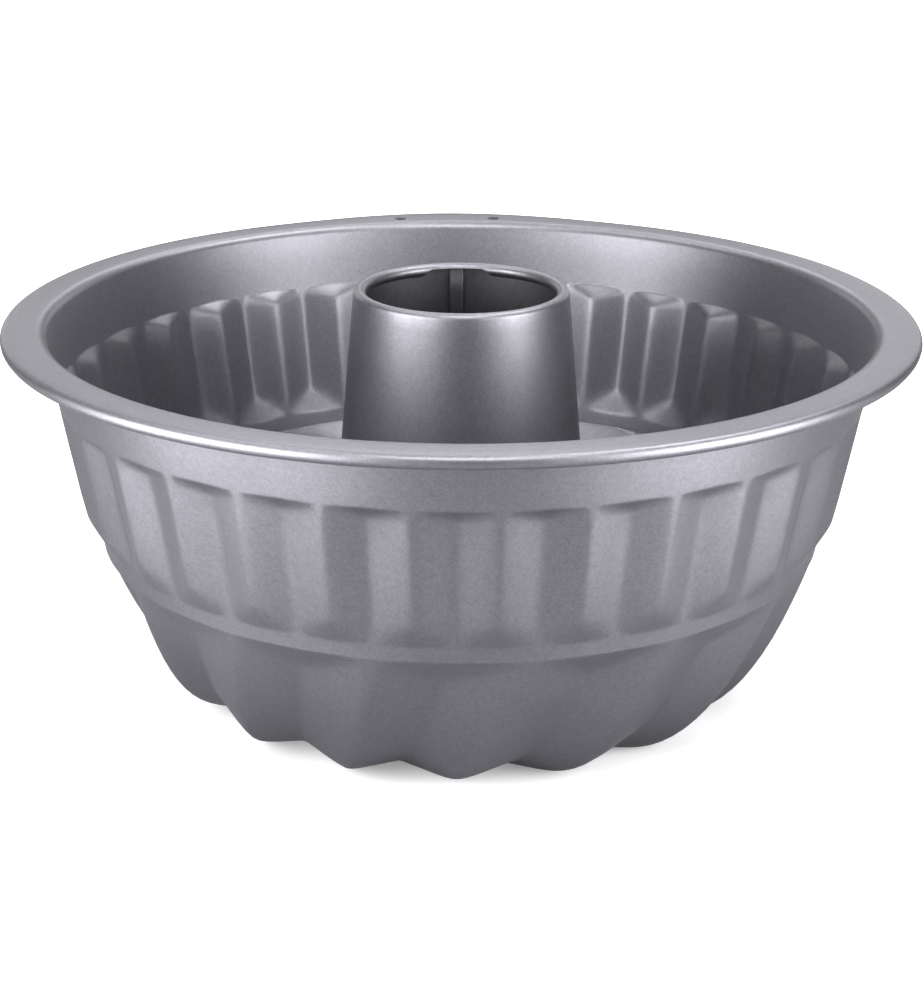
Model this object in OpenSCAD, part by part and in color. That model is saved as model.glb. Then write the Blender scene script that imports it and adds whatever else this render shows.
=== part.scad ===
// Fluted ring cake pan: a pressed steel shell with a rolled rim, a rolled and
// lock-seamed centre tube, and the wire that stiffens the rim.
// Millimetres, +Z up. The origin is on the tube's axis, in the plane that the
// lowest flutes stand on, and +Y points between the two hanging holes.

/* [Overall] */
// Outside diameter over the rolled rim, away from its widened part
rim_d = 242; // [200:1:292]
// Height of the flat rim above the table
pan_h = 104; // [86:0.5:125]
// Thickness of the pressed and rolled sheet
sheet_t = 0.6; // [0.5:0.05:0.75]

/* [Rim] */
// Flat width of the rim, from the outside of the roll to the bend
rim_w = 9.05; // [7:0.05:14]
// Bend radius between the rim and the wall, on the outside
bend_r = 2.2; // [1:0.1:4]
// Diameter of the wire inside the rolled edge
wire_d = 2; // [1.6:0.1:2.4]
// Clearance all round the wire
wire_gap = 0.1; // [0.05:0.01:0.15]
// How far the rim is widened round the hanging holes
tab_out = 3.5; // [0:0.1:6]
// Half angle that the widened part takes up
tab_angle = 27; // [20:1:40]

/* [Hanging holes] */
// Diameter of each hole
hang_hole_d = 3.6; // [3:0.1:5]
// Distance between the two holes
hang_hole_pitch = 29.2; // [20:0.1:40]
// Width of flat rim left between each hole and the bend
hang_hole_land = 1.4; // [0.8:0.1:2.5]

/* [Wall and upper flutes] */
// Height of the plain band, measured down from the top of the rim
band_h = 17.4; // [12:0.1:25]
// Draft of the plain band, from upright
band_taper = 8.5; // [4:0.5:14]
// Draft of the flutes' outer edges, from upright
flute_taper = 10.75; // [6:0.25:16]
// Number of upper flutes, twice the number of swirled ones
flute_count = 32; // [24:2:40]
// Depth of an upper flute
flute_depth = 2.7; // [1.5:0.1:4]
// Height over which the band steps into a flute
band_step = 3.2; // [1.5:0.1:5]
// Turn of the flutes about the axis, from the hanging holes
flute_turn = 2.7; // [0:0.01:11.25]

/* [Ridge and swirled flutes] */
// Height of the lower edge of the ridge between upper and swirled flutes
ridge_h = 45; // [38:0.5:52]
// Height of the ridge's own face
ridge_face = 3.8; // [0.5:0.1:6]
// Height of the slope between the upper flutes' edges and the ridge
mound_h = 6.2; // [3:0.1:9]
// Depth of a swirled flute, square to the surface
swirl_depth = 4.1; // [2:0.1:5]
// Angle that a swirled flute turns through on its way down
swirl_turn = 13.7; // [0:1:20]
// Draft of the surface just under the ridge, from upright
swirl_taper = 17.5; // [10:0.1:28]
// How far down that draft carries, as a share of the ridge's height
swirl_full = 0.72; // [0.5:0.01:0.9]
// How far out the foot's level run carries, as a share of the way to the ridge
foot_full = 0.4; // [0.2:0.01:0.6]
// Diameter of the ring that the pan stands on, at its outside
foot_d = 127; // [116:1:140]
// Width of that ring
foot_w = 4; // [2:0.5:6]

/* [Floor and tube] */
// Height of the flat floor round the tube, on its underside
floor_h = 3.2; // [2.6:0.1:4]
// Width of that flat floor, from the collar to where the swirl begins
floor_w = 7.3; // [4:0.1:12]
// Height of the tube above the table
tube_h = 111; // [95:0.5:135]
// Outside diameter of the tube at its top
tube_top_d = 57.8; // [50:0.2:64]
// Outside diameter of the tube at its foot
tube_foot_d = 76; // [62:0.5:92]
// Radius of the roll at the tube's top
hem_r = 1.7; // [1.3:0.1:2.2]
// Height of the upright neck at the tube's foot
neck_h = 5; // [4.5:0.1:8]
// Clearance round the collar where the floor hooks into the tube's foot
collar_gap = 0.1; // [0.05:0.01:0.15]
// Clearance between the hook's turned-up edge and the floor over it
hook_gap = 0.5; // [0.2:0.1:1]
// Height of the tube's foot above the table
hook_h = 0.6; // [0.3:0.1:1]
// Width of the tube's folded lock seam
lock_w = 4; // [3:0.1:6]
// Direction of the lock seam from the axis
lock_angle = 90.4; // [0:0.1:360]
// Half angle of the notch in the top roll at the lock seam
notch_angle = 20; // [10:1:25]
// How far the notch reaches above the middle of that roll
notch_rise = 0.5; // [0:0.1:1]

/* [Hidden] */
steel_grey = [0.56, 0.56, 0.6];
bright_wire = [0.72, 0.72, 0.74];
round_fn = 128;
notch_wall_gap = 0.05;

// The roll: inside and outside radius across its flats, and its centre
roll_sides = 8;
roll_bend = 360 / roll_sides;
roll_in = wire_d / 2 + wire_gap;
roll_out = roll_in + sheet_t;
roll_r = rim_d / 2 - roll_out;
roll_z = pan_h - roll_out;

// The wall, on its outside
bend_at = rim_d / 2 - rim_w;
wall_r = bend_at - bend_r;
wall_z = pan_h - sheet_t - bend_r;
band_z = pan_h - band_h;
band_r = wall_r - (wall_z - band_z) * tan(band_taper);
function edge_r(z) = band_r - (band_z - z) * tan(flute_taper);
ridge_r = edge_r(ridge_h) - flute_depth;

// The collar that turns down from the floor, and the foot that hooks under it
foot_r = foot_d / 2;
tube_top_r = tube_top_d / 2;
tube_foot_r = tube_foot_d / 2;
collar_r = tube_foot_r + collar_gap + sheet_t;
collar_z = hook_h + sheet_t;
floor_r = collar_r + floor_w;

// A column of the shell's mesh starts at each edge of each flute's flat land
land = 0.03;
swirl_count = flute_count / 2;
swirl_pitch = 360 / swirl_count;
quarters = [0, 0.25, 0.5, 0.75];
stops = [for (q = quarters) each [q - land, q + land]];
column_count = swirl_count * len(stops);
crest_angle = flute_turn + swirl_pitch / 4;
function stop_at(j) = stops[j % len(stops)];
function column_angle(j) = crest_angle + (floor(j / len(stops)) + stop_at(j)) * swirl_pitch;

// 1 at the edge of an upper flute and 0 in its bottom
function upper_out(j) = floor(j / 2) % 2;
// 1 along the crest of a swirled flute and 0 in its bottom, with flat sides between
function swirl_out(j) =
    let (off = abs(stop_at(j) > 0.5 + land ? stop_at(j) - 1 : stop_at(j)))
    min(1, max(0, (0.5 - land - off) / (0.5 - 2 * land)));

// How far the rim is pushed out at an angle: a smooth swell round +Y
function turn_from_y(a) = abs((a + 90) % 360 - 180);
function swell(a) =
    let (off = turn_from_y(a)) off < tab_angle ? tab_out * (1 + cos(180 * off / tab_angle)) / 2 : 0;

// The swirled surface's crest line: a curve with four handles, from ridge to foot
handle_down = swirl_full * ridge_h;
handles = [[ridge_r, ridge_h],
    [ridge_r - handle_down * tan(swirl_taper), ridge_h - handle_down],
    [foot_r + foot_full * (ridge_r - foot_r), 0],
    [foot_r, 0]];
function crest(t) = (1 - t) ^ 3 * handles[0] + 3 * t * (1 - t) ^ 2 * handles[1]
    + 3 * t ^ 2 * (1 - t) * handles[2] + t ^ 3 * handles[3];
function crest_run(t) = (1 - t) ^ 2 * (handles[1] - handles[0])
    + 2 * t * (1 - t) * (handles[2] - handles[1]) + t ^ 2 * (handles[3] - handles[2]);
function crest_in(t) = let (d = crest_run(t)) [d.y, -d.x] / norm(d);
swirl_steps = [0.09, 0.3, 0.53, 0.77];
floor_mid_r = (foot_r - foot_w + floor_r) / 2;

// One column of the shell's underside as [radius, height], from the end of the
// rolled edge, round the roll, down the wall and in along the floor to the collar
function roll_line(push) = [
    [roll_r + push - roll_in, roll_z],
    for (a = [roll_bend / 2 - 180:roll_bend:90 - roll_bend / 2])
        [roll_r + push, roll_z] + roll_in / cos(roll_bend / 2) * [cos(a), sin(a)]];
function bend_line() = [for (a = [90, 135, 180])
    [bend_at, wall_z] + bend_r * [cos(a), sin(a)]];
function upper_line(out) = [
    [band_r, band_z],
    [edge_r(band_z - band_step) - flute_depth * (1 - out), band_z - band_step],
    [edge_r(ridge_h + ridge_face + mound_h) - flute_depth * (1 - out), ridge_h + ridge_face + mound_h],
    [edge_r(ridge_h + ridge_face) - flute_depth, ridge_h + ridge_face],
    [ridge_r, ridge_h]];
function swirl_line(out) = [
    for (t = swirl_steps) crest(t) + (1 - out) * swirl_depth * crest_in(t),
    [foot_r, (1 - out) * floor_h],
    [foot_r - foot_w, (1 - out) * floor_h]];
function floor_line(out) = [
    [floor_mid_r, floor_h * (1 - out / 2)],
    [floor_r, floor_h],
    [collar_r, floor_h],
    [collar_r, collar_z]];
function underside(j) = concat(roll_line(swell(column_angle(j))), bend_line(),
    upper_line(upper_out(j)), swirl_line(swirl_out(j)), floor_line(swirl_out(j)));

// The same line moved by one sheet to its right, which is the pan's inside
function right_of(d) = [d.y, -d.x] / norm(d);
function inside(line) = [for (i = [0:len(line) - 1])
    let (n1 = right_of(line[max(i, 1)] - line[max(i, 1) - 1]),
        n2 = right_of(line[min(i, len(line) - 2) + 1] - line[min(i, len(line) - 2)]))
    line[i] + sheet_t * (n1 + n2) / (1 + n1 * n2)];

// Each row's share of the swirl: none above the ridge, all of it from the foot in
rows_above = len(roll_line(0)) + len(bend_line()) + len(upper_line(0));
row_count = len(underside(0));
row_turn = [for (i = [0:row_count - 1])
    i < rows_above ? 0
    : swirl_turn * (i - rows_above < len(swirl_steps) ? swirl_steps[i - rows_above] : 1)];

function closed_line(j) = let (under = underside(j), top = inside(under))
    [for (i = [0:row_count - 1]) [under[i].x, under[i].y, row_turn[i]],
     for (i = [row_count - 1:-1:0]) [top[i].x, top[i].y, row_turn[i]]];
function at_angle(r, a, z) = [r * cos(a), r * sin(a), z];

// A ring skinned over closed sections, one section a column
module skin_ring(sections) {
    n = len(sections[0]);
    m = len(sections);
    polyhedron(
        points = [for (s = sections) each s],
        faces = [for (j = [0:m - 1]) for (k = [0:n - 1])
            let (a = j * n + k, b = j * n + (k + 1) % n,
                c = ((j + 1) % m) * n + (k + 1) % n, d = ((j + 1) % m) * n + k)
            each [[a, c, b], [a, d, c]]],
        convexity = 12);
}

// The pressed shell: rolled rim, plain band, flutes, ridge, swirl, floor and collar
module pan_body() {
    hole_y = bend_at + hang_hole_land + hang_hole_d / 2;
    color(steel_grey) difference() {
        skin_ring([for (j = [0:column_count - 1])
            [for (p = closed_line(j)) at_angle(p.x, column_angle(j) - p.z, p.y)]]);
        for (side = [-1, 1])
            translate([side * hang_hole_pitch / 2, hole_y, pan_h - 2 * sheet_t])
                cylinder(d = hang_hole_d, h = 3 * sheet_t, $fn = 48);
    }
}

// The tube's section: tapered wall, inward roll at the top, upright neck and the
// foot that turns out and up round the floor's collar
module tube_section() {
    hem_z = tube_h - hem_r;
    hook_in = collar_r + collar_gap;
    hook_top = floor_h - hook_gap;
    polygon([
        [tube_top_r, hem_z], [tube_foot_r, neck_h], [tube_foot_r, collar_z],
        [hook_in, collar_z], [hook_in, hook_top], [hook_in + sheet_t, hook_top],
        [hook_in + sheet_t, hook_h], [tube_foot_r - sheet_t, hook_h],
        [tube_foot_r - sheet_t, neck_h], [tube_top_r - sheet_t, hem_z]]);
    translate([tube_top_r - hem_r, hem_z]) difference() {
        circle(r = hem_r, $fn = 48);
        circle(r = hem_r - sheet_t, $fn = 48);
        translate([-hem_r / 2, -2 * hem_r]) square([2 * hem_r, 2 * hem_r]);
    }
}

// A wedge round the axis that takes the roll's inner lip away beside the lock seam
module lip_notch() {
    reach = 2 * tube_top_r;
    below = 3 * hem_r;
    intersection() {
        translate([0, 0, tube_h - below])
            cylinder(r = tube_top_r - sheet_t - notch_wall_gap, h = below - hem_r + notch_rise,
                $fn = round_fn);
        rotate(lock_angle) translate([0, 0, tube_h - below]) linear_extrude(below)
            polygon([[0, 0], reach * [cos(notch_angle), -sin(notch_angle)],
                reach * [cos(notch_angle), sin(notch_angle)]]);
    }
}

// The folded seam: two more layers of sheet lying along the tube's inside
module lock_seam() {
    rise = tube_h - 2 * hem_r - neck_h;
    lean = atan((tube_foot_r - tube_top_r) / (tube_h - hem_r - neck_h));
    sunk = sheet_t / 2;
    thick = sunk + 2 * sheet_t;
    rotate(lock_angle) translate([tube_foot_r - sunk, 0, neck_h])
        rotate([0, -lean, 0]) translate([-thick, -lock_w / 2, 0])
            cube([thick, lock_w, rise]);
}

// The tube is rolled up from its own sheet, so its seam and foot belong to it
module centre_tube() {
    color(steel_grey) union() {
        difference() {
            rotate_extrude($fn = round_fn) tube_section();
            lip_notch();
        }
        lock_seam();
    }
}

// The wire follows the rim's outline, swell included, inside the roll
module rim_wire() {
    corner_r = wire_d / 2 / cos(roll_bend / 2);
    color(bright_wire) skin_ring([for (j = [0:column_count - 1])
        let (a = column_angle(j))
        [for (b = [180 - roll_bend / 2:-roll_bend:roll_bend / 2 - 180])
            at_angle(roll_r + swell(a) + corner_r * cos(b), a, roll_z + corner_r * sin(b))]]);
}

pan_body();
centre_tube();
rim_wire();
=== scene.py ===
"""The fluted ring cake pan's finished surfaces, coating and studio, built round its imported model."""

import bpy
import numpy as np
from bpy.props import FloatProperty, FloatVectorProperty, IntProperty, PointerProperty
from mathutils import Matrix, Vector


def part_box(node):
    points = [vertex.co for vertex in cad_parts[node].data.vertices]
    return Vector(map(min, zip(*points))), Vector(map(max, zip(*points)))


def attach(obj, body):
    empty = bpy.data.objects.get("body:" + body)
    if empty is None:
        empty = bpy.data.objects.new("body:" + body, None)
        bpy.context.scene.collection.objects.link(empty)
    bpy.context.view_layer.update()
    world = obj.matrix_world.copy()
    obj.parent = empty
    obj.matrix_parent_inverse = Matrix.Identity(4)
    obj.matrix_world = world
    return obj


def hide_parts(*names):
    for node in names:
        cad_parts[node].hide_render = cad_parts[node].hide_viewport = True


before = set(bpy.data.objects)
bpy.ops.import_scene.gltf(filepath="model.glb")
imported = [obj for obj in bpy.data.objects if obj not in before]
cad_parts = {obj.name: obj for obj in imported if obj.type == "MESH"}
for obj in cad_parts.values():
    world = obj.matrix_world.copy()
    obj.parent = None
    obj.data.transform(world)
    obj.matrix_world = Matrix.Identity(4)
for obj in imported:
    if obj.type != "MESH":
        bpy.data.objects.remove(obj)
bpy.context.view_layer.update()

bl_info = {
    "name": "Fluted Ring Cake Pan",
    "version": (1, 0, 0),
    "blender": (4, 5, 0),
    "location": "View3D > Sidebar > Cake Pan",
    "description": "Builds the pan's pressed shell, centre tube, rim wire, coating and studio",
    "category": "Add Mesh",
}

RIM_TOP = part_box("pan_body")[1].z
TUBE_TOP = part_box("centre_tube")[1].z
MM = 0.001

# how softly the pressed sheet turns at its folds
FOLD_EASE = 1.0 * MM
DRAFT_EASE = 0.3 * MM
CREST_EASE = 0.15 * MM
COLLAR_BEND = 0.4 * MM
COLLAR_APRON = 1.6 * MM

# shares of the swirl's way down: where it has its full depth, where it starts to fade and over how much
SWIRL_DEEP = 0.088
FADE_FROM, FADE_OVER = 0.72, 0.28

# the tube's roll in degrees: where it ends, how much the notch takes off, and half a slanting end
ROLL_END, NOTCH_CUT, NOTCH_SLOPE = 262.0, 98.0, 4.0
SHARP_ANGLE = 50.0

# grains per metre in the coating and the wire
FINE, MOTTLED, BROAD, SCUFFED = 2300.0, 700.0, 26.0, 420.0
STREAKED, SPOTTED = 1500.0, 160.0

# lamps in metres and degrees: cards stand on the floor, boxes and screen hang further off
CARD_SIZE, CARD_AWAY, CARD_MIDDLE = (0.10, 0.26), 0.30, 0.132
LOW_BOX, SQUARE_BOX, BOX_AWAY, BOX_AIM = (0.62, 0.5), (0.5, 0.5), 1.2, 0.06
LOW_RISE, SCREEN_RISE, HIGH_RISE = 14.0, 38.0, 64.0
HALF_FLOOR, GLOW_STARTS, GLOW_FULL = 30.0, 0.15, 0.5
SENSOR_WIDTH, NEAREST_SEEN = 36.0, 0.01
BLACK, WHITE = (0.0, 0.0, 0.0, 1.0), (1.0, 1.0, 1.0, 1.0)


def length(name, text, default):
    return FloatProperty(name=name, description=text, default=default, precision=5, unit="LENGTH")


def angle(name, text, degrees):
    return FloatProperty(name=name, description=text, default=np.radians(degrees), subtype="ANGLE")


def share(name, text, default, top=1.0):
    return FloatProperty(name=name, description=text, default=default, min=0.0, max=top)


def colour(name, text, default):
    return FloatVectorProperty(
        name=name, description=text, default=default, size=3, subtype="COLOR", min=0.0, max=1.0
    )


class PanSizes(bpy.types.PropertyGroup):
    """Sizes of the pressed shell, from the rolled rim to the collar round the tube."""

    rim_d: length("Rim diameter", "Outside diameter over the rolled rim", 0.242)
    pan_h: length("Rim height", "Height of the flat rim above the table", RIM_TOP)
    sheet_t: length("Sheet", "Thickness of the pressed sheet", 0.0006)
    rim_w: length("Rim width", "Flat width from the outside of the roll to the bend", 0.00905)
    bend_r: length("Bend radius", "Outside radius between the rim and the wall", 0.0022)
    roll_in: length("Roll radius", "Inside radius of the rolled edge", 0.0011)
    tab_out: length("Rim swell", "How far the rim is pushed out at the hanging holes", 0.0035)
    tab_angle: angle("Swell angle", "Half angle of the widened rim", 27)
    hole_d: length("Hole diameter", "Diameter of each hanging hole", 0.0036)
    hole_pitch: length("Hole spacing", "Distance between the hanging holes", 0.0292)
    hole_land: length("Hole land", "Flat left between each hole and the bend", 0.0014)
    band_h: length("Band height", "Height of the plain band under the rim", 0.0174)
    band_taper: angle("Band draft", "Draft of the plain band", 8.5)
    flute_taper: angle("Flute draft", "Draft of the upper flutes", 10.75)
    flute_count: IntProperty(name="Flutes", description="Number of upper flutes", default=32, min=8)
    flute_depth: length("Flute depth", "Depth of an upper flute", 0.0029)
    flute_turn: angle("Flute turn", "Turn of the flutes about the axis", 2.7)
    band_step: length("Step", "Height over which the band steps into a flute", 0.0032)
    ridge_h: length("Ridge height", "Height of the ridge's lower edge", 0.045)
    ridge_face: length("Ridge face", "Height of the ridge's own face", 0.0038)
    ridge_out: length("Ridge stand-off", "How far the ridge stands proud of the flutes", 0.0003)
    mound_h: length("Mound", "Height of the slope from the flute edges to the ridge", 0.0062)
    swirl_depth: length("Swirl depth", "Depth of a swirled flute", 0.0041)
    swirl_turn: angle("Swirl turn", "Turn of a swirled flute on its way down", 13.66)
    swirl_lead: angle("Swirl lead", "Offset between a swirled crest and its upper flute", 0.66)
    swirl_taper: angle("Swirl draft", "Draft just under the ridge", 17.5)
    swirl_full: share("Swirl fullness", "How far down that draft carries", 0.72)
    foot_full: share("Foot fullness", "How far out the level foot carries", 0.40)
    foot_d: length("Foot diameter", "Outside diameter of the ring it stands on", 0.127)
    foot_w: length("Foot width", "Width of that ring", 0.004)
    floor_h: length("Floor height", "Underside of the floor round the tube", 0.0032)
    floor_w: length("Floor width", "Flat floor outside the collar", 0.0073)
    edge_ease: share("Edge ease", "How much the flute edges are rounded", 0.045)


class TubeSizes(bpy.types.PropertyGroup):
    """Sizes of the rolled centre tube and its seams."""

    top_d: length("Top diameter", "Outside diameter at the top", 0.0578)
    foot_d: length("Foot diameter", "Outside diameter at the foot", 0.076)
    height: length("Height", "Top of the roll above the table", TUBE_TOP)
    hem_r: length("Roll radius", "Radius of the roll at the top", 0.0017)
    neck_h: length("Neck", "Height of the upright neck", 0.005)
    hook_h: length("Foot clearance", "Height of the hook over the table", 0.0006)
    hook_gap: length("Hook gap", "Gap between hook and floor", 0.0005)
    collar_gap: length("Collar gap", "Clearance round the floor's collar", 0.0001)
    lock_w: length("Seam width", "Width of the folded lock seam", 0.004)
    lock_angle: angle("Seam direction", "Direction of the lock seam", 90.4)
    notch_angle: angle("Notch half angle", "Half angle of the notch in the roll", 20)


class WireSizes(bpy.types.PropertyGroup):
    """Size of the wire in the rolled rim."""

    wire_d: length("Wire diameter", "Diameter of the stiffening wire", 0.002)


class FinishColours(bpy.types.PropertyGroup):
    """Colours and gloss of the coating and the wire."""

    coat_light: colour("Coating, light grains", "Lighter grains of the coating", (0.280, 0.277, 0.304))
    coat_dark: colour("Coating, dark grains", "Darker grains of the coating", (0.205, 0.202, 0.225))
    coat_rubbed: colour("Coating, rubbed", "Where the coating is rubbed", (0.34, 0.34, 0.355))
    coat_rough: share("Coating roughness", "Roughness of the coating", 0.46)
    coat_metal: share("Coating metallic", "Metallic share of the coating", 1.0)
    wire_light: colour("Wire, light", "Lighter streaks of the wire", (0.60, 0.60, 0.62))
    wire_dark: colour("Wire, dark", "Darker streaks of the wire", (0.46, 0.46, 0.48))


class StudioSizes(bpy.types.PropertyGroup):
    """Camera, lamps and floor."""

    camera_distance: length("Camera distance", "From the middle of the rim", 0.5951)
    camera_height: angle("Camera elevation", "Elevation seen from the middle of the rim", 14.91)
    camera_azimuth: angle("Camera azimuth", "Clockwise from straight in front", 2.37)
    camera_pitch: angle("Camera pitch", "How far the camera looks down", 19.73)
    camera_yaw: angle("Camera yaw", "How far the camera looks right", 0.04)
    camera_roll: angle("Camera roll", "How far the camera leans", 0.284)
    camera_lens: FloatProperty(name="Lens", description="Focal length in mm", default=80.01, min=1)
    card_left: share("Left card", "Brightness of the outer card at the left", 9.8, 99)
    card_left_in: share("Left inner card", "Brightness of the inner card at the left", 7.6, 99)
    card_right_in: share("Right inner card", "Brightness of the inner card at the right", 4.4, 99)
    card_right: share("Right card", "Brightness of the outer card at the right", 8.0, 99)
    box_left: share("Left softbox", "Brightness of the low softbox at the left", 4.6, 99)
    box_right: share("Right softbox", "Brightness of the low softbox at the right", 5.4, 99)
    box_back: share("Back softboxes", "Brightness of the two low softboxes behind", 1.6, 99)
    screen_back: share("Back screen", "Brightness of the screen behind", 3.7, 99)
    high_front: share("High front softbox", "Brightness of the high softbox in front", 11.0, 99)
    high_right: share("High right softbox", "Brightness of the high softbox at the right", 10.4, 99)
    high_left: share("High left softbox", "Brightness of the high softbox at the left", 5.3, 99)
    room_light: share("Room", "Brightness of the room", 0.02, 50)
    floor_glow: share("Floor glow", "How much the floor shows brighter than it is lit", 0.25, 5)
    floor_white: colour("Floor", "Colour of the floor", (0.92, 0.92, 0.92))
    floor_shade: colour("Floor, bounced", "Colour that the floor lends to the pan", (0.31, 0.31, 0.32))


# ---------------------------------------------------------------- surfaces


def soft_min(a, b, ease):
    """The lower of two values with the corner eased.

    It is half of (the sum less the root of (the gap squared plus the ease squared)).
    """
    return 0.5 * (a + b - np.sqrt((a - b) ** 2 + ease**2))


def soft_max(a, b, ease):
    """The higher of two values with the corner eased, by the same formula with the root added."""
    return 0.5 * (a + b + np.sqrt((a - b) ** 2 + ease**2))


def smooth(x):
    """Rises from 0 to 1 with level ends: 3x squared less 2x cubed, on x held between 0 and 1."""
    x = np.clip(x, 0.0, 1.0)
    return x * x * (3.0 - 2.0 * x)


def zigzag(turns, ease):
    """1 at whole turns and 0 at half turns, with flat sides between.

    It is the arcsine of a cosine that is held a little under 1, scaled.
    """
    top = 1.0 - ease
    return 0.5 + np.arcsin(top * np.cos(2.0 * np.pi * turns)) / (2.0 * np.arcsin(top))


def arc(centre, radius, start, end, count):
    """Points on a circle in a section, from one angle to another in degrees, as radius and height arrays."""
    a = np.radians(np.linspace(start, end, count))
    return centre[0] + radius * np.cos(a), centre[1] + radius * np.sin(a)


def sheet_mesh(name, outer, thickness):
    """A closed sheet from a grid of its outer points, whose columns run round the axis.

    The other face is the outer one moved inwards along its normal, which is the cross product
    of the grid's two directions, by the thickness at each point. The two ends are closed.
    """
    rows, cols = outer.shape[:2]
    along = np.gradient(outer, axis=0)
    around = np.roll(outer, -1, axis=1) - np.roll(outer, 1, axis=1)
    normal = np.cross(along, around)
    normal /= np.linalg.norm(normal, axis=2, keepdims=True)
    inner = outer - normal * thickness
    points = np.concatenate([outer.reshape(-1, 3), inner.reshape(-1, 3)])
    i, j = np.meshgrid(np.arange(rows - 1), np.arange(cols), indexing="ij")
    k = (j + 1) % cols
    a, b, c, d = i * cols + j, (i + 1) * cols + j, (i + 1) * cols + k, i * cols + k
    skin = np.stack([a, b, c, d], axis=-1).reshape(-1, 4)
    lining = np.stack([d, c, b, a], axis=-1).reshape(-1, 4) + rows * cols
    j = np.arange(cols)
    k = (j + 1) % cols
    under = rows * cols
    first = np.stack([j, k, k + under, j + under], axis=-1)
    last = (rows - 1) * cols
    end = np.stack([j + last, j + last + under, k + last + under, k + last], axis=-1)
    return quad_mesh(name, points, np.concatenate([skin, lining, first, end]))


def quad_mesh(name, points, quads):
    """A mesh from arrays of points and of four-cornered faces, set in whole arrays."""
    mesh = bpy.data.meshes.new(name)
    mesh.vertices.add(len(points))
    mesh.vertices.foreach_set("co", np.ascontiguousarray(points, dtype=np.float32).ravel())
    mesh.loops.add(quads.size)
    mesh.loops.foreach_set("vertex_index", np.ascontiguousarray(quads, dtype=np.int32).ravel())
    mesh.polygons.add(len(quads))
    mesh.polygons.foreach_set("loop_start", np.arange(0, quads.size, 4, dtype=np.int32))
    mesh.update(calc_edges=True)
    mesh.validate()
    return mesh


def flute_columns(count, turn):
    """Angles round the axis, close together at every flute's edge and bottom, in degrees."""
    half = np.array([0.0, 0.022, 0.055, 0.12, 0.25, 0.38, 0.445, 0.478])
    stops = np.concatenate([half, half + 0.5])
    return ((np.arange(count)[:, None] + stops[None, :]) * 360.0 / count + turn).ravel()


def rim_swell(angles, out, half_angle):
    """How far the rim is pushed out: a cosine hump round 90 degrees, level at both ends."""
    off = np.abs((angles + 90.0) % 360.0 - 180.0)
    return np.where(off < half_angle, out * (1.0 + np.cos(np.pi * off / half_angle)) / 2.0, 0.0)


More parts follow.
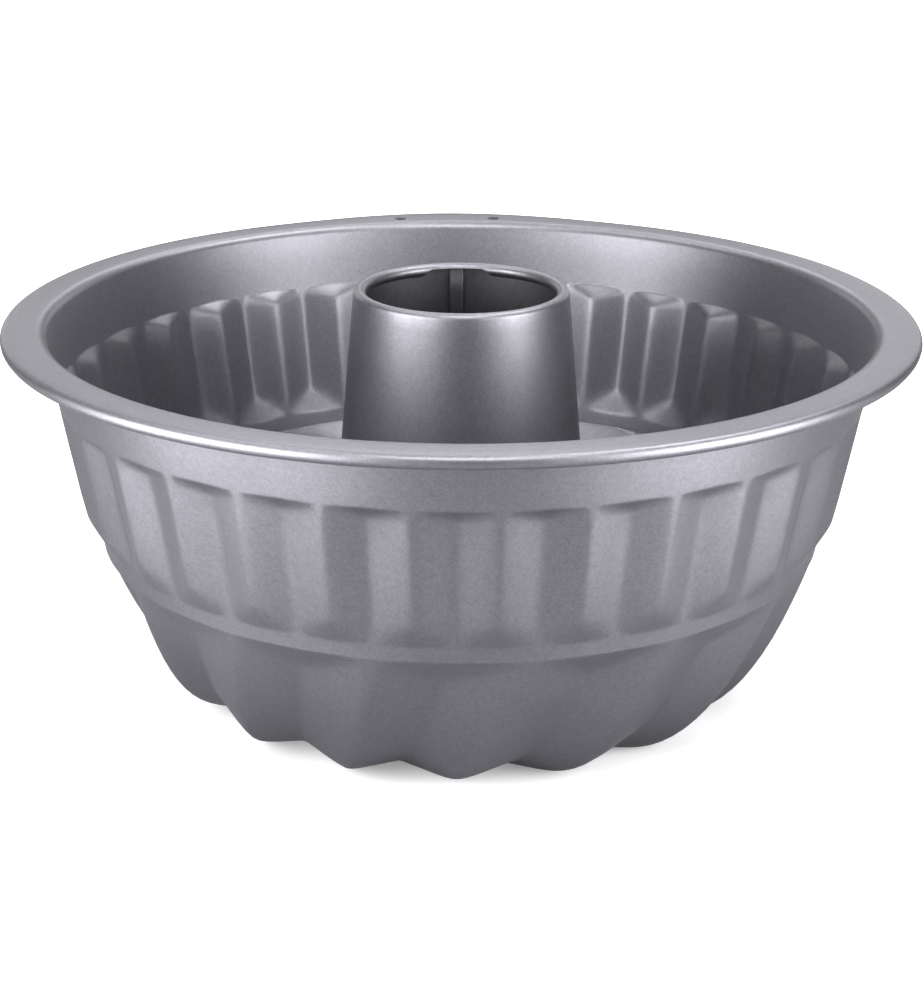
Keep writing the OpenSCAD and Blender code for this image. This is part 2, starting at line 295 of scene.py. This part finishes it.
def shell_points(p):
    """Grid of points on the shell's underside, from the rolled edge to the collar.

    Rim: a circle round the wire, a level flange pushed out by the swell, and a bend.
    Wall: radius is the eased lower of the band's and the flutes' straight drafts, less a depth.
    Depth is the flute depth times (1 less the upper zigzag), held under a ramp below the band
    and over a ramp above the ridge.
    Swirl: a curve with four handles carries the crests from ridge to foot. Each point lies inside
    it, square to it, by the swirl depth times (1 less the lower zigzag), which turns with depth.
    Floor: the swirl's height fades into the level floor, which turns down as the collar.
    """
    tube = bpy.context.scene.tube_sizes
    th = flute_columns(p.flute_count, np.degrees(p.flute_turn))[None, :]
    pitch = 360.0 / p.flute_count
    crest_at = np.degrees(p.flute_turn) + pitch / 2.0
    upper = zigzag((th - np.degrees(p.flute_turn)) / pitch, p.edge_ease)
    lower = zigzag((th - crest_at) / (2.0 * pitch), p.edge_ease)
    level = np.zeros_like(th)
    tan_band, tan_flute = np.tan(p.band_taper), np.tan(p.flute_taper)

    roll_out = p.roll_in + p.sheet_t
    roll_r, roll_z = p.rim_d / 2.0 - roll_out, p.pan_h - roll_out
    push = rim_swell(th, p.tab_out, np.degrees(p.tab_angle))
    bend_at = p.rim_d / 2.0 - p.rim_w
    wall_z = p.pan_h - p.sheet_t - p.bend_r
    wall_r = bend_at - p.bend_r / np.cos(p.band_taper)
    band_z = p.pan_h - p.band_h
    band_r = wall_r - (wall_z - band_z) * tan_band

    parts = []

    def add(r, z, turn=0.0):
        parts.append(np.broadcast_arrays(r + level, z + level, turn + level))

    # rolled edge, flange and bend
    r, z = arc((roll_r, roll_z), p.roll_in, -180.0, 90.0, 13)
    add(r[:, None] + push, z[:, None])
    f = np.array([0.4, 0.75])[:, None]
    add((roll_r + push) * (1.0 - f) + bend_at * f, p.pan_h - p.sheet_t)
    r, z = arc((bend_at, wall_z), p.bend_r, 90.0, 180.0 - np.degrees(p.band_taper), 7)
    add(r[:, None], z[:, None])

    # plain band, upper flutes, mounds and ridge
    foot = p.ridge_h + p.ridge_face
    z = np.concatenate([
        band_z + np.array([8.0, 2.4, 1.0, 0.5, 0.15, -0.2, -0.6, -1.1, -1.8, -2.5, -3.0, -3.5, -4.2]) * MM,
        [band_z - 10.0 * MM, foot + 14.0 * MM],
        foot + np.array([7.8, 6.9, 6.3, 5.6, 4.6, 3.2, 1.8, 0.9, 0.4, 0.0, -0.4, -0.9]) * MM,
        p.ridge_h + np.array([1.2, 0.5, 0.15]) * MM,
    ])[:, None]
    drop = band_z - z
    draft = soft_min(band_r - drop * tan_band, band_r - drop * tan_flute, DRAFT_EASE)
    ramp_in = drop * p.flute_depth / p.band_step
    ramp_out = p.flute_depth * (1.0 - (z - foot) / p.mound_h)
    depth = soft_min(p.flute_depth * (1.0 - upper), ramp_in, FOLD_EASE)
    depth = soft_min(soft_max(depth, ramp_out, FOLD_EASE), p.flute_depth, CREST_EASE)
    depth = np.clip(depth, 0.0, p.flute_depth)
    stand_off = p.ridge_out * drop / (band_z - p.ridge_h)
    lead = np.degrees(p.swirl_lead) * smooth((foot - z) / p.ridge_face)
    add(draft - depth + np.clip(stand_off, 0.0, None), z, lead)

    # swirled flutes
    t = np.array([0.0, 0.006, 0.013, 0.022, 0.035, 0.05, 0.065, 0.078, 0.088, 0.098, 0.11, 0.13,
                  0.17, 0.23, 0.3, 0.37, 0.44, 0.51, 0.58, 0.65, 0.71, 0.77, 0.83, 0.88, 0.92,
                  0.96, 1.0])[:, None]
    foot_r = p.foot_d / 2.0
    ridge_r = band_r - (band_z - p.ridge_h) * tan_flute - p.flute_depth + p.ridge_out
    down = p.swirl_full * p.ridge_h
    handles = np.array([[ridge_r, p.ridge_h],
                        [ridge_r - down * np.tan(p.swirl_taper), p.ridge_h - down],
                        [foot_r + p.foot_full * (ridge_r - foot_r), 0.0],
                        [foot_r, 0.0]])
    u = 1.0 - t
    crest = u**3 * handles[0] + 3 * t * u**2 * handles[1] + 3 * t**2 * u * handles[2] + t**3 * handles[3]
    run = (u**2 * (handles[1] - handles[0]) + 2 * t * u * (handles[2] - handles[1])
           + t**2 * (handles[3] - handles[2]))
    inward = np.stack([run[:, 1], -run[:, 0]], axis=1) / np.hypot(run[:, 0], run[:, 1])[:, None]
    full = p.swirl_depth + (p.floor_h - p.swirl_depth) * smooth((t - FADE_FROM) / FADE_OVER)
    depth = soft_min(full * (1.0 - lower), full * t / SWIRL_DEEP, FOLD_EASE)
    depth = np.clip(depth, 0.0, None)
    turn = np.degrees(p.swirl_lead) + np.degrees(p.swirl_turn) * t
    add(crest[:, :1] + depth * inward[:, :1], crest[:, 1:] + depth * inward[:, 1:], turn)

    # standing ring, floor and collar
    full_turn = np.degrees(p.swirl_lead + p.swirl_turn)
    collar_r = tube.foot_d / 2.0 + tube.collar_gap + p.sheet_t
    ring_r = foot_r - p.foot_w
    floor_r = collar_r + p.floor_w
    f = np.array([0.5, 1.0])[:, None]
    add(foot_r - p.foot_w * f, (1.0 - lower) * p.floor_h, full_turn)
    f = np.array([0.15, 0.3, 0.45, 0.6, 0.75, 0.9, 1.0])[:, None]
    add(ring_r + (floor_r - ring_r) * f, p.floor_h * (1.0 - lower * (1.0 - smooth(f))), full_turn)
    add(np.array([[collar_r + COLLAR_APRON]]), p.floor_h, full_turn)
    r, z = arc((collar_r + COLLAR_BEND, p.floor_h - COLLAR_BEND), COLLAR_BEND, 90.0, 180.0, 4)
    add(r[:, None], z[:, None], full_turn)
    add(np.array([[collar_r]]), tube.hook_h + p.sheet_t, full_turn)

    r, z, turn = (np.concatenate(x) for x in zip(*parts))
    a = np.radians(th - turn)
    return np.stack([r * np.cos(a), r * np.sin(a), z], axis=-1)


def tube_points(p, sheet):
    """Grid of points on the tube's outside, and the sheet's thickness at each.

    The section is the roll's circle, a straight draft, an upright neck and the foot hook. The
    roll's inner end stops early round the lock seam, with slanting sides. The thickness triples
    in a strip along the seam, which lies on the tube's inside, beside a fine groove.
    """
    lock = np.degrees(p.lock_angle)
    top_r, foot_r = p.top_d / 2.0, p.foot_d / 2.0
    notch = np.degrees(p.notch_angle)
    half = np.degrees(p.lock_w / 2.0 / top_r)
    near = np.concatenate([
        np.linspace(-notch - 5.0, -half - 1.2, 18), half * np.array([-1.18, -1.06, -1.0, -0.93, -0.6,
        -0.2, 0.2, 0.6, 0.93, 1.0, 1.06, 1.18]), np.linspace(half + 1.2, notch + 5.0, 18)])
    wide = np.linspace(notch + 5.0, 360.0 - notch - 5.0, 164)[1:-1]
    off = np.concatenate([near, wide])[None, :]
    off_seam = np.abs((off + 180.0) % 360.0 - 180.0)
    th = off + lock

    hem_z = p.height - p.hem_r
    lean = np.degrees(np.arctan((foot_r - top_r) / (hem_z - p.neck_h)))
    cut = smooth((notch + NOTCH_SLOPE - off_seam) / (2.0 * NOTCH_SLOPE))
    curl = ROLL_END - cut * NOTCH_CUT
    f = np.linspace(0.0, 1.0, 17)[:, None]
    a = np.radians(curl + (lean - curl) * f)
    rows_r = [top_r - p.hem_r + p.hem_r * np.cos(a)]
    rows_z = [hem_z + p.hem_r * np.sin(a)]
    wall = np.array([0.03, 0.06, 0.1, 0.3, 0.55, 0.8, 0.94, 0.97, 0.985])[:, None]
    start_r = top_r - p.hem_r + p.hem_r * np.cos(np.radians(lean))
    start_z = hem_z + p.hem_r * np.sin(np.radians(lean))
    rows_r.append(start_r + (foot_r - start_r) * wall + 0.0 * off)
    rows_z.append(start_z + (p.neck_h - start_z) * wall + 0.0 * off)
    low = p.hook_h + sheet
    out_r = foot_r + p.collar_gap + sheet + p.collar_gap
    ease = 0.3 * MM
    r1, z1 = arc((foot_r + ease, low + ease), ease, 180.0, 270.0, 4)
    r2, z2 = arc((out_r - ease, low + ease), ease, 270.0, 360.0, 4)
    hook_top = bpy.context.scene.pan_sizes.floor_h - p.hook_gap
    r = np.concatenate([[foot_r, foot_r], r1, r2, [out_r]])
    z = np.concatenate([[p.neck_h, 0.5 * (p.neck_h + low)], z1, z2, [hook_top]])
    rows_r.append(r[:, None] + 0.0 * off)
    rows_z.append(z[:, None] + 0.0 * off)
    r, z = np.concatenate(rows_r), np.concatenate(rows_z)

    strip = smooth((1.03 * half - off_seam) / (0.08 * half))
    groove = np.exp(-(((off + half * 0.82) / (0.1 * half)) ** 2))
    along = smooth((hem_z - 0.4 * MM - z) / (1.2 * MM)) * smooth((z - p.neck_h - 0.4 * MM) / (1.2 * MM))
    thick = sheet * (1.0 + along * (2.0 * strip - 1.1 * groove * (strip > 0.5)))
    a = np.radians(th)
    return np.stack([r * np.cos(a), r * np.sin(a), z], axis=-1), thick[..., None]


def wire_points(pan, wire_r):
    """Grid of points on the wire: a small circle carried round the rim, swell included."""
    th = np.linspace(0.0, 360.0, 384, endpoint=False)[None, :]
    roll_out = pan.roll_in + pan.sheet_t
    centre_r = pan.rim_d / 2.0 - roll_out + rim_swell(th, pan.tab_out, np.degrees(pan.tab_angle))
    b = np.radians(np.arange(0.0, 360.0, 22.5))[:, None]
    r = centre_r + wire_r * np.cos(b)
    z = pan.pan_h - roll_out + wire_r * np.sin(b) + 0.0 * th
    a = np.radians(th)
    return np.stack([r * np.cos(a), r * np.sin(a), z], axis=-1)


def ring_mesh(name, grid):
    """A closed ring from a grid that wraps both ways, its rows running round the section."""
    rows, cols = grid.shape[:2]
    i, j = np.meshgrid(np.arange(rows), np.arange(cols), indexing="ij")
    n, k = (i + 1) % rows, (j + 1) % cols
    quads = np.stack([i * cols + j, i * cols + k, n * cols + k, n * cols + j], axis=-1).reshape(-1, 4)
    return quad_mesh(name, grid.reshape(-1, 3), quads)


def show(name, mesh, material, replaced):
    """Puts a finished mesh into the scene as a piece that rides on the pan."""
    mesh.materials.append(material)
    piece = bpy.data.objects.new(name, mesh)
    bpy.context.scene.collection.objects.link(piece)
    mesh.shade_smooth()
    mesh.set_sharp_from_angle(angle=np.radians(SHARP_ANGLE))
    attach(piece, "root")
    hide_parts(replaced)
    return piece


# ---------------------------------------------------------------- finishes


class Value:
    """A number in a shader that ordinary arithmetic works on."""

    def __init__(self, finish, socket):
        self.finish, self.socket = finish, socket

    def math(self, operation, a, b):
        return self.finish.node("ShaderNodeMath", {"operation": operation}, {0: a, 1: b})

    def __add__(self, other):
        return self.math("ADD", self, other)

    def __radd__(self, other):
        return self.math("ADD", other, self)

    def __sub__(self, other):
        return self.math("SUBTRACT", self, other)

    def __rsub__(self, other):
        return self.math("SUBTRACT", other, self)

    def __mul__(self, other):
        return self.math("MULTIPLY", self, other)

    def __rmul__(self, other):
        return self.math("MULTIPLY", other, self)


class Finish:
    """A material's nodes round its Principled shader."""

    def __init__(self, name):
        self.material = bpy.data.materials.new(name)
        self.material.use_nodes = True
        self.tree = self.material.node_tree
        self.shader = next(n for n in self.tree.nodes if n.type == "BSDF_PRINCIPLED")
        place = self.tree.nodes.new("ShaderNodeTexCoord")
        self.place = Value(self, place.outputs["Object"])

    def put(self, socket, value):
        if isinstance(value, Value):
            self.tree.links.new(value.socket, socket)
        else:
            socket.default_value = value

    def node(self, kind, settings, inputs, output=0):
        """Adds a node: its settings first, then its sockets' values or links."""
        made = self.tree.nodes.new(kind)
        for key, value in settings.items():
            setattr(made, key, value)
        for key, value in inputs.items():
            self.put(made.inputs[key], value)
        return Value(self, made.outputs[output])

    def noise(self, scale, detail=2.0, rough=0.5, stretch=None):
        vector = self.place
        if stretch:
            vector = self.node("ShaderNodeMapping", {}, {"Vector": vector, "Scale": stretch})
        return self.node("ShaderNodeTexNoise", {}, {
            "Vector": vector, "Scale": scale, "Detail": detail, "Roughness": rough})

    def ramp(self, value, low, high):
        """0 at low, 1 at high and straight between."""
        return self.node("ShaderNodeMapRange", {"clamp": True}, {
            "Value": value, "From Min": low, "From Max": high, "To Min": 0.0, "To Max": 1.0})

    def mix(self, factor, a, b):
        return self.node("ShaderNodeMix", {"data_type": "RGBA"}, {
            "Factor": factor, 6: a, 7: b}, output=2)

    def height(self):
        parts = self.tree.nodes.new("ShaderNodeSeparateXYZ")
        self.put(parts.inputs[0], self.place)
        return Value(self, parts.outputs["Z"])

    def bump(self, height, strength, distance):
        return self.node("ShaderNodeBump", {}, {
            "Strength": strength, "Distance": distance, "Height": height})

    def feed(self, **sockets):
        for key, value in sockets.items():
            self.put(self.shader.inputs[key.replace("_", " ")], value)
        return self.material


def rgba(c):
    return (c[0], c[1], c[2], 1.0)


def coated_steel(colours):
    """Satin metallic coating: fine grain, soft mottling, and rubbing on the ring the pan stands on."""
    made = bpy.data.materials.get("coated_steel")
    if made:
        return made
    coat = Finish("coated_steel")
    grain = coat.noise(FINE, 2.0, 0.6)
    mottle = coat.noise(MOTTLED, 2.0)
    broad = coat.noise(BROAD, 3.0, 0.55)
    scuff = coat.ramp(coat.noise(SCUFFED, 4.0, 0.7), 0.5, 0.62)
    low = 1.0 - coat.ramp(coat.height(), 0.0002, 0.0011)
    rub = scuff * low
    shade = 0.5 + (grain - 0.5) * 2.1 + (mottle - 0.5) * 0.8 + (broad - 0.5) * 0.5
    base = coat.mix(shade, rgba(colours.coat_dark), rgba(colours.coat_light))
    base = coat.mix(rub * 0.7, base, rgba(colours.coat_rubbed))
    rough = colours.coat_rough + (broad - 0.5) * 0.06 + (grain - 0.5) * 0.08 - rub * 0.1
    bump = coat.bump(grain + mottle * 0.8, 0.4, 0.00005)
    return coat.feed(Base_Color=base, Metallic=colours.coat_metal, Roughness=rough, Normal=bump)


def drawn_wire(colours):
    """Bare drawn steel: fine streaks and a few dull spots."""
    wire = Finish("drawn_wire")
    streak = wire.noise(STREAKED, 3.0, 0.6, (1.0, 1.0, 4.0))
    spots = wire.noise(SPOTTED, 3.0)
    base = wire.mix(streak * 0.6 + spots * 0.4, rgba(colours.wire_dark), rgba(colours.wire_light))
    rough = 0.28 + (spots - 0.5) * 0.2 + (streak - 0.5) * 0.1
    bump = wire.bump(streak, 0.3, 0.00003)
    return wire.feed(Base_Color=base, Metallic=1.0, Roughness=rough, Normal=bump)


# ---------------------------------------------------------------- operators


class PAN_OT_shell(bpy.types.Operator):
    """Builds the pressed shell with its rolled rim, flutes, swirl, floor and hanging holes"""

    bl_idname = "pan.shell"
    bl_label = "Pressed Shell"

    def execute(self, context):
        sizes = context.scene.pan_sizes
        mesh = sheet_mesh("pan_shell", shell_points(sizes), sizes.sheet_t)
        coating = coated_steel(context.scene.finish_colours)
        shell = show("pan_shell", mesh, coating, "pan_body")
        self.punch(context, shell, sizes)
        return {"FINISHED"}

    def punch(self, context, shell, sizes):
        """Cuts the two hanging holes through the rim with true cylinders."""
        hole_r = sizes.hole_d / 2.0
        hole_y = sizes.rim_d / 2.0 - sizes.rim_w + sizes.hole_land + hole_r
        a = np.radians(np.arange(0.0, 360.0, 7.5))
        for side in (-1, 1):
            ring = np.stack([side * sizes.hole_pitch / 2.0 + hole_r * np.cos(a),
                             hole_y + hole_r * np.sin(a), 0.0 * a], axis=-1)
            low, high = ring.copy(), ring.copy()
            low[:, 2], high[:, 2] = sizes.pan_h - 3 * sizes.sheet_t, sizes.pan_h + 2 * sizes.sheet_t
            count = len(a)
            faces = [tuple(range(count))[::-1], tuple(range(count, 2 * count))]
            faces += [(i, (i + 1) % count, count + (i + 1) % count, count + i) for i in range(count)]
            punch = bpy.data.meshes.new("punch")
            punch.from_pydata(np.concatenate([low, high]).tolist(), [], faces)
            tool = bpy.data.objects.new("punch", punch)
            context.scene.collection.objects.link(tool)
            cut = shell.modifiers.new("hole", "BOOLEAN")
            cut.operation, cut.solver, cut.object = "DIFFERENCE", "EXACT", tool
            context.view_layer.update()
            done = bpy.data.meshes.new_from_object(shell.evaluated_get(context.evaluated_depsgraph_get()))
            shell.modifiers.remove(cut)
            shell.data = done
            bpy.data.objects.remove(tool)
        shell.data.name = "pan_shell"


class PAN_OT_tube(bpy.types.Operator):
    """Builds the rolled centre tube with its top roll, lock seam and foot hook"""

    bl_idname = "pan.tube"
    bl_label = "Centre Tube"

    def execute(self, context):
        points, thick = tube_points(context.scene.tube_sizes, context.scene.pan_sizes.sheet_t)
        mesh = sheet_mesh("tube_wall", points, thick)
        show("tube_wall", mesh, coated_steel(context.scene.finish_colours), "centre_tube")
        return {"FINISHED"}


class PAN_OT_wire(bpy.types.Operator):
    """Builds the wire that stiffens the rolled rim"""

    bl_idname = "pan.wire"
    bl_label = "Rim Wire"

    def execute(self, context):
        grid = wire_points(context.scene.pan_sizes, context.scene.wire_sizes.wire_d / 2.0)
        show("wire_ring", ring_mesh("wire_ring", grid), drawn_wire(context.scene.finish_colours),
             "rim_wire")
        return {"FINISHED"}


class PAN_OT_studio(bpy.types.Operator):
    """Sets up the floor, the cards, the softboxes, the back screen and the camera"""

    bl_idname = "pan.studio"
    bl_label = "Studio"

    def execute(self, context):
        s = context.scene.studio_sizes
        self.floor(context, s)
        cards = (("card_left", s.card_left, -64.0), ("card_left_in", s.card_left_in, -36.0),
                 ("card_right_in", s.card_right_in, 36.0), ("card_right", s.card_right, 54.0))
        for name, brightness, azimuth in cards:
            self.lamp(context, name, brightness, CARD_SIZE, azimuth, 0.0, CARD_AWAY, CARD_MIDDLE)
        boxes = (("box_left", s.box_left, -60.0), ("box_right", s.box_right, 60.0),
                 ("box_back_left", s.box_back, -150.0), ("box_back_right", s.box_back, 150.0))
        for name, brightness, azimuth in boxes:
            self.lamp(context, name, brightness, LOW_BOX, azimuth, LOW_RISE, BOX_AWAY, BOX_AIM)
        high = (("screen_back", s.screen_back, 180.0, SCREEN_RISE),
                ("high_front", s.high_front, 0.0, HIGH_RISE),
                ("high_right", s.high_right, 120.0, HIGH_RISE),
                ("high_left", s.high_left, -120.0, HIGH_RISE))
        for name, brightness, azimuth, rise in high:
            self.lamp(context, name, brightness, SQUARE_BOX, azimuth, rise, BOX_AWAY, BOX_AIM)
        world = bpy.data.worlds.new("studio")
        world.use_nodes = True
        sky = world.node_tree.nodes["Background"]
        sky.inputs["Color"].default_value = WHITE
        sky.inputs["Strength"].default_value = s.room_light
        context.scene.world = world
        context.scene.view_settings.view_transform = "Standard"
        context.scene.view_settings.look = "None"
        self.camera(context, s)
        return {"FINISHED"}

    def floor(self, context, s):
        """A level pale floor, which shows paler to the camera than the light it bounces back.

        It also glows with painted light that only the camera sees. The glow grows with distance from the
        axis, so that it is white all round, and is weakest round the pan, so the floor round the pan is
        painted darker.
        """
        corners = np.array([[-1.0, -1.0, 0.0], [1.0, -1.0, 0.0], [1.0, 1.0, 0.0], [-1.0, 1.0, 0.0]])
        points = corners * HALF_FLOOR
        floor = bpy.data.objects.new("floor", quad_mesh("floor", points, np.array([[0, 1, 2, 3]])))
        context.scene.collection.objects.link(floor)
        paper = Finish("floor_paper")
        seen = paper.node("ShaderNodeLightPath", {}, {}, output="Is Camera Ray")
        away = paper.node("ShaderNodeVectorMath", {"operation": "LENGTH"}, {0: paper.place}, output="Value")
        # painted light: a glow only the camera sees, weakest round the pan, which paints the floor there
        # darker
        glow = s.floor_glow + paper.ramp(away, GLOW_STARTS, GLOW_FULL) * (1.0 - s.floor_glow)
        floor.data.materials.append(paper.feed(
            Base_Color=paper.mix(seen, rgba(s.floor_shade), rgba(s.floor_white)),
            Emission_Color=paper.mix(seen * glow, BLACK, WHITE),
            Emission_Strength=1.0, Roughness=0.9, Specular_IOR_Level=0.0))

    def lamp(self, context, name, brightness, size, azimuth, elevation, distance, aim_z):
        """A rectangular softbox that faces the pan, at an azimuth clockwise from straight in front."""
        light = bpy.data.lights.new(name, "AREA")
        light.shape, light.size, light.size_y = "RECTANGLE", size[0], size[1]
        light.energy = brightness * np.pi * size[0] * size[1]
        a, e = np.radians(azimuth), np.radians(elevation)
        aim = Vector((0.0, 0.0, aim_z))
        back = Vector((np.sin(a) * np.cos(e), -np.cos(a) * np.cos(e), np.sin(e)))
        lamp = bpy.data.objects.new(name, light)
        lamp.rotation_mode = "QUATERNION"
        lamp.location = aim + back * distance
        lamp.rotation_quaternion = (-back).to_track_quat("-Z", "Y")
        lamp.visible_camera = False
        context.scene.collection.objects.link(lamp)

    def camera(self, context, s):
        """Puts the camera round the middle of the rim, then pitches, yaws and rolls it."""
        turn = s.camera_azimuth
        ahead = Vector((np.sin(turn), np.cos(turn), 0.0))
        right = Vector((np.cos(turn), -np.sin(turn), 0.0))
        rise = Vector((0.0, 0.0, 1.0))
        e, p, y, r = s.camera_height, s.camera_pitch, s.camera_yaw, s.camera_roll
        middle = Vector((0.0, 0.0, context.scene.pan_sizes.pan_h))
        place = middle + s.camera_distance * (rise * np.sin(e) - ahead * np.cos(e))
        look = ahead * np.cos(p) - rise * np.sin(p)
        up = ahead * np.sin(p) + rise * np.cos(p)
        look, right = look * np.cos(y) + right * np.sin(y), right * np.cos(y) - look * np.sin(y)
        right, up = right * np.cos(r) + up * np.sin(r), up * np.cos(r) - right * np.sin(r)
        data = bpy.data.cameras.new("camera")
        data.lens, data.sensor_width, data.clip_start = s.camera_lens, SENSOR_WIDTH, NEAREST_SEEN
        camera = bpy.data.objects.new("camera", data)
        camera.matrix_world = Matrix((
            (right.x, up.x, -look.x, place.x), (right.y, up.y, -look.y, place.y),
            (right.z, up.z, -look.z, place.z), (0.0, 0.0, 0.0, 1.0)))
        context.scene.collection.objects.link(camera)
        context.scene.camera = camera


OPERATORS = (PAN_OT_shell, PAN_OT_tube, PAN_OT_wire, PAN_OT_studio)
GROUPS = {
    "pan_sizes": PanSizes,
    "tube_sizes": TubeSizes,
    "wire_sizes": WireSizes,
    "finish_colours": FinishColours,
    "studio_sizes": StudioSizes,
}


class PAN_PT_pan(bpy.types.Panel):
    """Sizes, colours and build steps of the pan"""

    bl_idname = "PAN_PT_pan"
    bl_label = "Fluted Ring Cake Pan"
    bl_space_type = "VIEW_3D"
    bl_region_type = "UI"
    bl_category = "Cake Pan"

    def draw(self, context):
        for name, group in GROUPS.items():
            box = self.layout.box()
            box.label(text=name.replace("_", " ").capitalize())
            for key in group.__annotations__:
                box.prop(getattr(context.scene, name), key)
        for operator in OPERATORS:
            self.layout.operator(operator.bl_idname)


def register():
    for cls in (*GROUPS.values(), *OPERATORS, PAN_PT_pan):
        bpy.utils.register_class(cls)
    for name, group in GROUPS.items():
        setattr(bpy.types.Scene, name, PointerProperty(type=group))


def unregister():
    for name in GROUPS:
        delattr(bpy.types.Scene, name)
    for cls in reversed((*GROUPS.values(), *OPERATORS, PAN_PT_pan)):
        bpy.utils.unregister_class(cls)


def main():
    register()
    bpy.ops.pan.shell()
    bpy.ops.pan.tube()
    bpy.ops.pan.wire()
    bpy.ops.pan.studio()


if __name__ == "__main__":
    main()
